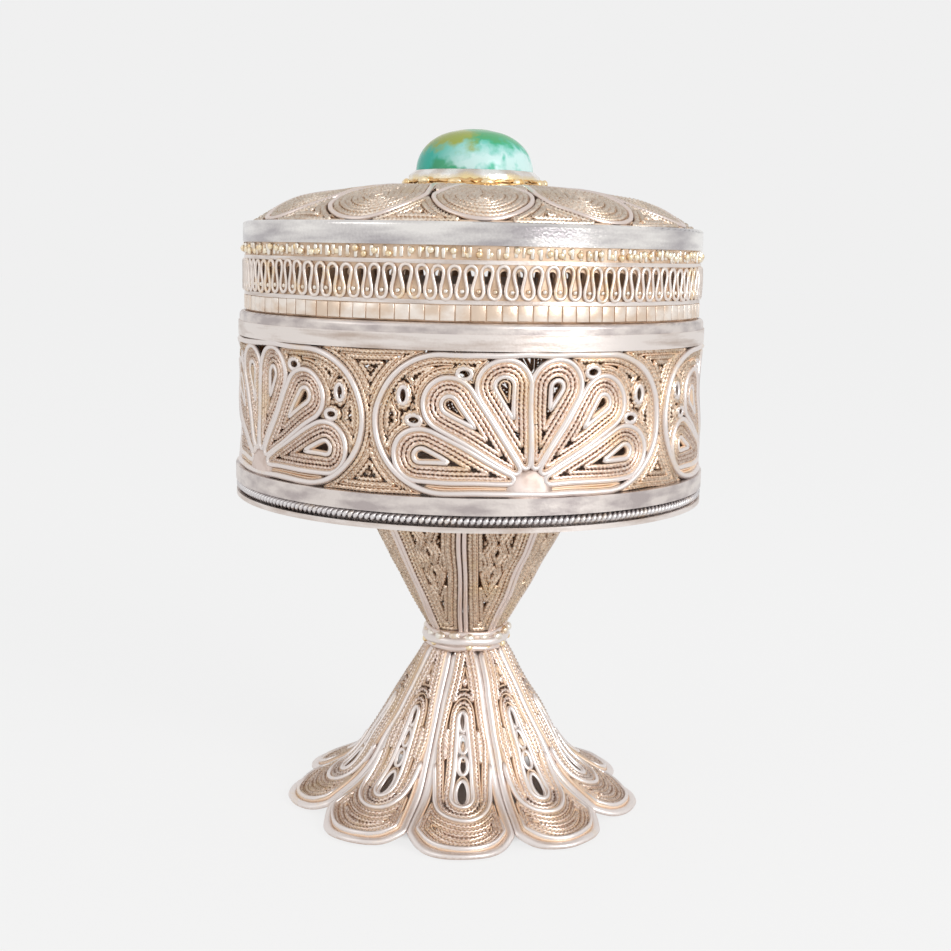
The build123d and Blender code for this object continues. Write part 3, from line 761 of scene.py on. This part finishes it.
# %% Lay the medallions on the wall
for number in range(1, MEDALLIONS + 1):
    turn = {**WALL, "First Angle": radians(turn_of(f"medallion_fill_{number}"))}
    narrow = {"Wide": 0.42, "Thin": 0.26, "Material": warm_twist}
    grow(f"medallion_filigree_{number}", drawing(medallion_rows), lay_round, {**TWISTED, **turn, **narrow},
         "box", [f"medallion_fill_{number}"])
    grow(f"medallion_ground_{number}", drawing(ground_rows), lay_round,
         {**TWISTED, **turn, "Material": golden_twist}, "box")
    grow(f"medallion_web_{number}", drawing(medallion_web), lay_round, {**WEB, **turn}, "box")
    grow(f"fan_wires_{number}", drawing(fan_lines), lay_round, {**SMOOTH, **turn, "Wide": 0.54}, "box",
         [f"fan_{number}"])
    grow(f"slot_wires_{number}", drawing(slot_lines), lay_round, {**THIN_WIRE, **turn}, "box")
    grow(f"frame_wire_{number}", drawing(frame_lines), lay_round,
         {**SMOOTH, **turn, "Wide": 0.6, "Thin": 0.5, "Lift": 0.2}, "box",
         [f"medallion_frame_{number}"])

# %% [markdown]
# Between two medallions the wall is filled with rows that follow both frames.

# %% Spandrels
spandrel_pitch = 2 * pi * ground_radius / MEDALLIONS
xs, ys, X, Y = paper((-7.5, frieze_base - 0.3), (7.5, frieze_top + 0.3))
beside = [stadium(X, Y, (side * spandrel_pitch / 2, frieze_middle), frame_half_length, frame_half_height)
          for side in (-1, 1)]
strip = np.abs(Y - frieze_middle) - frame_half_height
spandrel = np.maximum.reduce([strip, -beside[0], -beside[1], np.abs(X) - 6.6])
spandrel_rows = rows(xs, ys, spandrel, 0.2, CLOSE_ROW, 8, shortest=0.35)
spandrel_web = rows(xs, ys, spandrel, 0.1, WEB_ROW, 12, twist=0, shortest=0.2)
for number in range(1, MEDALLIONS + 1):
    turn = {**WALL, "First Angle": radians(turn_of(f"spandrel_fill_{number}"))}
    grow(f"spandrel_filigree_{number}", drawing(spandrel_rows), lay_round,
         {**TWISTED, **turn, "Material": golden_twist}, "box", [f"spandrel_fill_{number}"])
    grow(f"spandrel_web_{number}", drawing(spandrel_web), lay_round, {**WEB, **turn}, "box")

# %% [markdown]
# Solder runs into smooth lumps. A lump is a ball, and a post a block, with its edges rounded. Both are made
# once at the front, and the simplest tree sets copies round the axis.

# %% Lumps and posts


def ball(sizes, place):
    """A lump with three half sizes at a place in front, in millimetres."""
    mesh = bpy.data.meshes.new("lump")
    shape = bmesh.new()
    bmesh.ops.create_icosphere(shape, subdivisions=2, radius=MM)
    for vertex in shape.verts:
        vertex.co = vertex.co * Vector(sizes) + Vector(place) * MM
    shape.to_mesh(mesh)
    shape.free()
    return mesh


def post(sizes, place, bevel):
    """An upright block with three sizes and rounded edges at a place in front, in millimetres."""
    mesh = bpy.data.meshes.new("post")
    shape = bmesh.new()
    bmesh.ops.create_cube(shape, size=MM)
    for vertex in shape.verts:
        vertex.co = vertex.co * Vector(sizes)
    bmesh.ops.bevel(shape, geom=shape.edges[:], offset=bevel * MM, segments=2, affect="EDGES", profile=0.5)
    for vertex in shape.verts:
        vertex.co += Vector(place) * MM
    shape.to_mesh(mesh)
    shape.free()
    return mesh


hub_lump = ball((1.9, 0.42, 1.7), (0, -ground_radius, hub[1] - 0.45))
grow("fan_hubs", hub_lump, set_round,
     {"Copies": MEDALLIONS, "First Angle": radians(turn_of("medallion_fill_1")), "Wobble": 0.1,
      "Material": smooth_sheet}, "box")

# %% [markdown]
# Under the box's lower band runs a rope of two wires. Each strand is a helix drawn flat: its height goes
# up and down by a sine, and its distance from the wall by a cosine.

# %% Rope under the box
rope_inner, rope_radius, rope_low, rope_high = ring_of("rope_wire")
rope_axis = (rope_inner + rope_radius) / 2
rope_level = (rope_low + rope_high) / 2
strand_reach = (rope_high - rope_low) / 4
ROPE_TURNS = 130
POINTS_PER_TURN = 10
rope = []
for phase in (0, pi):
    around = np.linspace(0, 2 * pi, ROPE_TURNS * POINTS_PER_TURN, endpoint=False)
    lay = around * ROPE_TURNS + phase
    rope.append(Strand(list(zip(around * rope_axis, rope_level + strand_reach * np.sin(lay),
                                strand_reach * np.cos(lay))), True, 0))
grow("rope_strands", drawing(rope), lay_round,
     {**SMOOTH, **cylinder(rope_axis), "Wide": 0.42, "Thin": 0.42, "Twist Length": 0.45, "Sides": 6,
      "Lift": 0.0, "Wobble": 0.0, "Material": rope_silver}, "box", ["rope_wire"])

# %% [markdown]
# The lid's wall is a band of one meandering wire, whose loops lean out over each other like a row of
# drops. The upper drops are open, and a small ball sits in each lower one.

# %% Meander of the lid
WAVES = 100
POINTS_PER_WAVE = 24
wave_pitch = 2 * pi * lid_wall_radius / WAVES
wave_middle = (wave_base + wave_top) / 2
wave_half = (wave_top - wave_base) / 2 - 0.1
loop_swing = 0.21 * wave_pitch
turns = np.linspace(0, 2 * pi * WAVES, WAVES * POINTS_PER_WAVE, endpoint=False)
across = wave_pitch * turns / (2 * pi) + loop_swing * np.sin(2 * turns)
meander = [Strand(list(zip(across, wave_middle + wave_half * np.cos(turns))), True, 0)]
grow("meander_wire", drawing(meander), lay_round,
     {**SMOOTH, **cylinder(lid_wall_radius), "Wide": 0.31, "Thin": 0.30, "Twist Length": 0.48, "Sides": 6,
      "Lift": 0.12, "Material": band_wire}, "lid")
half_pitch = wave_pitch / 2 / lid_wall_radius
RING = {"Copies": WAVES, "First Angle": half_pitch, "Wobble": 0.02, "Uneven": 0.03}
grow("meander_beads", ball((0.2, 0.2, 0.2), (0, -0.04 - lid_wall_radius, wave_middle - 0.66)), set_round,
     {**RING, "Material": bright_solder}, "lid")

# %% [markdown]
# Over the meander stands a crowded row of little posts and drops of solder, and under it a strip of small
# plates with a thin notch between them.

# %% Posts and plates of the lid
bead_middle = (bead_base + bead_top) / 2
POSTS, DROPS, PLATES = 190, 141, 106
grow("lid_posts", post((0.32, 0.3, 0.84), (0, -lid_wall_radius, bead_middle), 0.12), set_round,
     {**RING, "Copies": POSTS, "Uneven": 0.11, "Material": bright_solder}, "lid")
grow("lid_post_drops", ball((0.26, 0.24, 0.28), (0, -lid_wall_radius - 0.06, bead_middle)), set_round,
     {**RING, "Copies": DROPS, "Uneven": 0.22, "Material": pale_solder}, "lid")
strip_middle = (strip_base + strip_top) / 2
notch = 0.07
plate_sizes = (2 * pi * lid_wall_radius / PLATES - notch, 0.16, strip_top - strip_base - 0.2)
plate = post(plate_sizes, (0, -0.02 - lid_wall_radius, strip_middle + 0.06), 0.04)
grow("lid_strip_plates", plate, set_round,
     {**RING, "Copies": PLATES, "Uneven": 0.015, "Material": cream_silver}, "lid")

# %% [markdown]
# The dome has eleven petals. All of its rows are drawn in one plan, seen from above, and dropped on it.

# %% Petals of the dome
DOME_PETALS = 11
FIRST_DOME_PETAL = 3
bezel_foot_radius = ring_of("bezel_foot_wire")[1]
petal_sine = sin(pi / DOME_PETALS)
dome_reach = dome_radius - 0.15
dome_tip_radius = (dome_reach * petal_sine - 0.075) / (1 + petal_sine)
dome_root_radius = 0.9
xs, ys, X, Y = paper((-dome_radius, -dome_radius), (dome_radius, dome_radius), 0.09)
dome_petals = []
for number in range(DOME_PETALS):
    angle = radians(FIRST_DOME_PETAL + number * 360 / DOME_PETALS)
    ahead = np.array((sin(angle), -cos(angle)))
    root = ahead * (bezel_foot_radius + 0.15 + dome_root_radius)
    dome_petals.append(teardrop(X, Y, root, dome_root_radius, ahead * (dome_reach - dome_tip_radius),
                                dome_tip_radius))
dome_lines, dome_rows, dome_web = [], [], []
for petal in dome_petals:
    dome_lines += outline(xs, ys, petal, 0.25)
    dome_rows += rows(xs, ys, petal, 0.5 + ROW / 2, ROW, 7)
    dome_web += rows(xs, ys, petal, 0.5, ROW, 8, twist=0)
dome_web += rows(xs, ys, disc(X, Y, (0, 0), bezel_foot_radius), 0.0, ROW, 13, twist=0)
round_dome = np.maximum(disc(X, Y, (0, 0), dome_radius), -disc(X, Y, (0, 0), bezel_foot_radius))
leftover = np.maximum(round_dome, -np.minimum.reduce(dome_petals))
dome_ground = rows(xs, ys, leftover, ROW / 2, ROW, 5, shortest=0.8)
dome_web += rows(xs, ys, leftover, ROW, ROW, 5, twist=0, shortest=0.8)
dome_web += rows(xs, ys, disc(X, Y, (0, 0), dome_radius), 0.25, ROW, 2, twist=0)
DOME = {"Sheet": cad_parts["lid_dome"]}
DOME_TWIST = {**TWISTED, **DOME, "Twist Length": 0.34, "Lift": -0.04, "Wobble": 0.09,
              "Material": dome_twist}
grow("dome_filigree", drawing(dome_rows), lay_down, DOME_TWIST, "lid", ["lid_dome"])
grow("dome_corners", drawing(dome_ground), lay_down, DOME_TWIST, "lid")
grow("dome_web", drawing(dome_web), lay_down, {**WEB, **DOME, "Lift": -0.24}, "lid")
grow("dome_petal_loops", drawing(dome_lines), lay_down,
     {**SMOOTH, **DOME, "Wide": 0.46, "Lift": 0.0, "Wobble": 0.09, "Material": pink_wire}, "lid",
     ["dome_petal_wires"])

# %% [markdown]
# Round the bezel's foot lie two thick twisted wires, gilded by the solder that holds them. Each has a
# whole number of half turns, so that it closes.

# %% Wires round the bezel
BEZEL_TWISTS = 44
BEZEL_WIRES = [(0.16, 0.56), (0.42, 0.26)]


def ring_at(radius, level, points, twist=0):
    """One closed strand round the axis, to wrap on a cylinder of that radius."""
    around = np.linspace(0, 2 * pi, points, endpoint=False)
    return drawing([Strand([(angle * radius, level) for angle in around], True, twist)])


for number, (out, up) in enumerate(BEZEL_WIRES, 1):
    radius = bezel_radius + out
    sizes = {**TWISTED, **cylinder(radius), "Twist Length": 2 * pi * radius / BEZEL_TWISTS, "First Angle": pi,
             "Sides": 8, "Cuts": 8.0, "Wide": 0.58, "Thin": 0.34, "Lift": 0.0, "Material": golden_wire}
    grow(f"bezel_twist_{number}", ring_at(radius, bezel_base + up, 160, twist=1), lay_round, sizes, "lid",
         ["bezel_foot_wire"] if number == 1 else [])

BEZEL_DROPS = {"Copies": 13, "First Angle": 0.2, "Wobble": 0.05, "Uneven": 0.1, "Material": golden_solder}
grow("bezel_drops", ball((0.66, 0.30, 0.36), (0, -bezel_radius - 0.34, bezel_base + 0.50)), set_round,
     BEZEL_DROPS, "lid")

# %% [markdown]
# The foot is a bell of nine petals. A petal's plan is a wedge that ends in a round tip. Inside lies an
# arch wire, and inside the arch a long drop with a chain of eyes in it.

# %% Draw a foot petal
FOOT_PETALS = 9
foot_half_angle = pi / FOOT_PETALS
foot_groove = 0.12
foot_tip_radius = 4.61
foot_tip_centre = foot_radius - foot_tip_radius
foot_edge = 0.42
arch_radius = 2.52
arch_centre = foot_radius - 3.3 - arch_radius
FOOT_ROW = 0.40
ARCH_END, LIP_END, LIP_WEB_END = -7.9, -10.9, -8.4
xs, ys, X, Y = paper((-5, -16), (5, -1), 0.06)
wedge = np.abs(X) * cos(foot_half_angle) + Y * sin(foot_half_angle) + foot_groove
round_tip = np.hypot(X, np.minimum(Y + foot_tip_centre, 0)) - foot_tip_radius
foot_petal = np.maximum(wedge, round_tip)
arch_disc = np.hypot(X, np.minimum(Y + arch_centre, 0)) - arch_radius
drop_field = teardrop(X, Y, (0, -6.35), 0.55, (0, -9.9), 1.1)
LARGEST_EYE = 0.64
FOOT_EYES = [(6.45, 0.20, 0.26), (7.40, 0.23, 0.27), (8.35, 0.27, 0.28), (9.85, 0.40, LARGEST_EYE)]
throat = ring_of("foot_petal_1")[0] + 0.55


def outside_throat(x, y):
    return hypot(x, y) > throat


foot_edges = kept(outline(xs, ys, foot_petal, 0.27), outside_throat)
foot_lips = kept(outline(xs, ys, foot_petal, 0.80), lambda x, y: y < LIP_END)
arch_field = np.maximum(wedge + 0.3, arch_disc)
arch_lines = kept(outline(xs, ys, arch_field, 0.25), lambda x, y: y < ARCH_END)
drop_lines = outline(xs, ys, drop_field, 0.22)
inside_arch = np.maximum.reduce([wedge + foot_edge, arch_disc + 0.5, -drop_field])
crescent = np.maximum.reduce([foot_petal + 0.95, -arch_disc, Y + arch_centre - 0.9])
foot_rows = rows(xs, ys, inside_arch, 0.18, FOOT_ROW, 6, shortest=0.6)
crescent_rows = rows(xs, ys, crescent, 0.18, FOOT_ROW, 6, shortest=0.6)
foot_web, eye_lines = [], []
for cell in (inside_arch, crescent):
    foot_web += rows(xs, ys, cell, 0.0, FOOT_ROW, 7, twist=0, shortest=0.6)
for reach, wide, high in FOOT_EYES:
    eye = (np.hypot(X / wide, (Y + reach) / high) - 1) * min(wide, high)
    eye_lines += outline(xs, ys, eye, -EYE_WIRE, shortest=0.5)
    if high == LARGEST_EYE:
        drop_field = np.maximum(drop_field, -eye)
foot_web += rows(xs, ys, drop_field, 0.25, CLOSE_ROW, 3, twist=0, shortest=0.6)
foot_web += kept(rows(xs, ys, foot_petal, 0.66, ROW, 2, twist=0), lambda x, y: y < LIP_WEB_END)
foot_rows, foot_web = kept(foot_rows, outside_throat), kept(foot_web, outside_throat)
print("foot petal rows", len(foot_rows))

# %% [markdown]
# The petal's plan drops onto the first petal's solid, and the trees turn copies of it round the axis.

# %% Lay the foot's petals
FOOT = {"Sheet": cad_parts["foot_petal_1"]}
for number in range(1, FOOT_PETALS + 1):
    turn = {**FOOT, "First Angle": radians((number - 1) * 360 / FOOT_PETALS)}
    grow(f"foot_filigree_{number}", drawing(foot_rows), lay_down, {**TWISTED, **turn}, "box",
         [f"foot_petal_{number}"])
    grow(f"foot_web_{number}", drawing(foot_web), lay_down, {**WEB, **turn}, "box")
NINE = {**FOOT, "Copies": FOOT_PETALS}
grow("foot_edge_wires", drawing(foot_edges), lay_down,
     {**SMOOTH, **NINE, "Wide": 0.54, "Thin": 0.80, "Lift": -0.22}, "box", ["foot_outline_wires"])
grow("foot_crescents", drawing(crescent_rows), lay_down, {**TWISTED, **NINE, "Material": warm_twist}, "box")
grow("foot_lips", drawing(foot_lips), lay_down,
     {**SMOOTH, **NINE, "Wide": 0.9, "Thin": 0.4, "Lift": -0.02, "Taper": 3.2}, "box")
grow("foot_arches", drawing(arch_lines), lay_down, {**SMOOTH, **NINE, "Wide": 0.56, "Taper": 0.6}, "box",
     ["foot_arch_wires"])
grow("foot_drops", drawing(drop_lines), lay_down, {**SMOOTH, **NINE, "Wide": 0.42, "Thin": 0.4}, "box",
     ["foot_drop_wires"])
grow("foot_eyes", drawing(eye_lines), lay_down, {**THIN_WIRE, **NINE, "Wide": 0.22}, "box")

# %% [markdown]
# The stem cup is a cone of eight panels with double ribs between them. Its drawing is wrapped on the cone.

# %% Stem cup
CUP_PANELS = 8
CUP_DIAMONDS = [(21.4, 0.14, 0.30), (23.4, 0.18, 0.36), (25.4, 0.22, 0.40)]
cup_bottom_radius, cup_top_radius = 3.2, 9.55
cup_slope = (cup_top_radius - cup_bottom_radius) / (box_base - cup_base)
cup_half_angle = pi / CUP_PANELS
CUP = {**cone(cup_base, box_base, cup_bottom_radius, cup_top_radius), "Copies": CUP_PANELS}
xs, ys, X, Y = paper((-4.2, cup_base - 0.5), (4.2, box_base + 0.3), 0.06)
cup_radius = cup_bottom_radius + (Y - cup_base) * cup_slope
panel = np.maximum.reduce([np.abs(X) - cup_radius * cup_half_angle + 0.42, Y - box_base, cup_base - Y])
for level, wide, high in CUP_DIAMONDS:
    eye = (np.abs(X) / wide + np.abs(Y - level) / high - 1) * min(wide, high)
    panel = np.maximum(panel, -eye)
cup_rows = rows(xs, ys, panel, ROW / 2, CLOSE_ROW, 8, shortest=0.8)
cup_web = rows(xs, ys, panel, 0.15, WEB_ROW, 13, twist=0, shortest=0.3)
first_rib = radians(-3)
between_ribs = {**CUP, "First Angle": first_rib + cup_half_angle}
grow("cup_filigree", drawing(cup_rows), lay_round,
     {**TWISTED, **between_ribs, "Material": golden_twist}, "box", ["stem_cup_panels"])
grow("cup_web", drawing(cup_web), lay_round, {**WEB, **between_ribs}, "box")
rib = [Strand([(side * 0.23, level) for level in np.linspace(cup_base - 0.2, box_base, 24)], False, 0)
       for side in (-1, 1)]
grow("cup_ribs", drawing(rib), lay_round,
     {**SMOOTH, **CUP, "First Angle": first_rib, "Wide": 0.46, "Material": pink_wire}, "box",
     ["stem_cup_ribs"])

# %% [markdown]
# The waist is a sleeve with a thick wire round it, and solder has run into the corners above and below.

# %% Waist
waist_middle = (waist_base + cup_base) / 2
sleeve_radius = waist_radius - 0.55


def waist_ring(name, radius, level, wide, material, replaced=()):
    """One wire round the waist."""
    grow(name, ring_at(radius, level, 120), lay_round,
         {**SMOOTH, **cylinder(radius), "Wide": wide, "Thin": wide, "Lift": 0.0, "Wobble": 0.14,
          "Material": material}, "box", replaced)


waist_ring("waist_wire", waist_radius - 0.50, waist_middle, 0.90, smooth_silver, ["waist_ring"])
waist_ring("waist_upper_wire", sleeve_radius - 0.1, waist_middle + 0.60, 0.60, pink_wire)
waist_ring("waist_lower_wire", sleeve_radius - 0.1, waist_middle - 0.60, 0.60, pink_wire)
WAIST_DROPS = {"First Angle": 0.1, "Wobble": 0.05, "Uneven": 0.16}
upper_drop = ball((0.54, 0.36, 0.40), (0, -sleeve_radius - 0.08, waist_middle + 0.40))
lower_drop = ball((0.34, 0.26, 0.30), (0, -sleeve_radius - 0.05, waist_middle - 0.42))
grow("waist_upper_drops", upper_drop, set_round,
     {**WAIST_DROPS, "Copies": 17, "Material": bright_solder}, "box")
grow("waist_lower_drops", lower_drop, set_round,
     {**WAIST_DROPS, "Copies": 13, "Material": golden_solder}, "box")

# %% [markdown]
# The nodes that keep their solids get their finish here.

# %% Dress the solids
FINISHES = {
    polished_band: ["lid_rim_band"],
    gilded_bezel: ["bezel_cup"],
    satin_silver: ["top_band", "base_edge_wire", "lid_upper_wire", "lid_lower_wire"],
    grey_silver: ["bottom_band", "rim_wire"],
    warm_silver: ["lid_wave_band", "lid_bead_row", "lid_edge_strip"],
    shaded_silver: ["inner_collar", "floor_plate"],
    mottled_stone: ["stone"],
}
for material, names in FINISHES.items():
    for name in names:
        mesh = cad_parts[name].data
        mesh.materials.clear()
        mesh.materials.append(material)

# %% [markdown]
# The studio is a pale floor, one soft lamp in front on the right, a weak one on the left, and an even
# pale world, which lights the box a little less than it shows. Away from the foot the floor shows as
# plain paper, without the wide shadow of the box. The camera stands where the photograph's stood.

# %% Floor, light and camera
CAMERA_PLACE = (0.0006, -0.1252, 0.0481)
CAMERA_PITCH = 8.73
CAMERA_ROLL = 1.15
CAMERA_LENS = 54.98
camera = bpy.data.objects.new("camera", bpy.data.cameras.new("camera"))
bpy.context.collection.objects.link(camera)
camera.matrix_world = (Matrix.Translation(CAMERA_PLACE) @ Matrix.Rotation(radians(90 - CAMERA_PITCH), 4, "X")
                       @ Matrix.Rotation(radians(CAMERA_ROLL), 4, "Z"))
camera.data.lens = CAMERA_LENS
camera.data.sensor_width = 36
camera.data.clip_start = 0.01
bpy.context.scene.camera = camera
bpy.context.scene.view_settings.view_transform = "Standard"

PAPER = (0.871, 0.871, 0.871, 1)
FLOOR_PAPER = (0.944, 0.944, 0.944, 1)
FLOOR_GLOW = 0.85
FOOT_SHADOW = (9, 12)
AMBIENT = 0.6
floor_mesh = bpy.data.meshes.new("floor")
floor_mesh.from_pydata([(-2, -2, 0), (2, -2, 0), (2, 2, 0), (-2, 2, 0)], [], [(0, 1, 2, 3)])
floor = bpy.data.objects.new("floor", floor_mesh)
bpy.context.collection.objects.link(floor)
floor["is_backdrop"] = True
floor_material, tree = new_material("pale_floor")
diffuse = tree.node("ShaderNodeBsdfDiffuse", {"Color": PAPER})
glow = tree.node("ShaderNodeEmission", {"Color": FLOOR_PAPER, "Strength": 1.0})
rays = tree.node("ShaderNodeLightPath", output="Is Camera Ray")
seen = tree.math("MAXIMUM", rays, rays.sibling("Is Glossy Ray"))
spot = tree.node("ShaderNodeTexCoord", output="Object")
from_axis = tree.node("ShaderNodeVectorMath", {0: spot}, "Value", operation="LENGTH")
open_floor = between(tree, from_axis, FOOT_SHADOW[0] * MM, FOOT_SHADOW[1] * MM)
both = tree.node("ShaderNodeMixShader", {0: seen * open_floor * FLOOR_GLOW, 1: diffuse, 2: glow})
tree.node("ShaderNodeOutputMaterial", {"Surface": both})
floor_mesh.materials.append(floor_material)

world = bpy.data.worlds.new("world")
bpy.context.scene.world = world
world.use_nodes = True
world.node_tree.nodes.clear()
tree = Tree(world.node_tree)
rays = tree.node("ShaderNodeLightPath", output="Is Camera Ray")
seen = tree.math("MAXIMUM", rays, rays.sibling("Is Glossy Ray"))
seen = tree.math("MAXIMUM", seen, rays.sibling("Is Transmission Ray"))
strength = seen * (1 - AMBIENT) + AMBIENT
sky = tree.node("ShaderNodeBackground", {"Color": PAPER, "Strength": strength})
tree.node("ShaderNodeOutputWorld", {"Surface": sky})


def lamp(name, place, aim, size, power):
    """A square soft lamp at a place in metres, turned towards a point."""
    light = bpy.data.lights.new(name, "AREA")
    light.size = size
    light.energy = power
    thing = bpy.data.objects.new(name, light)
    bpy.context.collection.objects.link(thing)
    thing.location = place
    thing.rotation_mode = "QUATERNION"
    thing.rotation_quaternion = (Vector(aim) - Vector(place)).to_track_quat("-Z", "Y")


MIDDLE = (0, 0, 0.03)
lamp("key", (0.28, -0.30, 0.18), MIDDLE, 0.20, 0.92)
lamp("fill", (-0.30, -0.20, 0.20), MIDDLE, 0.20, 0.1)

# %% [markdown]
# How far the visual model reaches beyond the box round the solids is printed.

# %% Sizes and finish
low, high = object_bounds()
for label, gap in (("below", cad_low - low), ("above", high - cad_high)):
    print("beyond the solids", label, "in mm", [round(v / MM, 3) for v in gap])
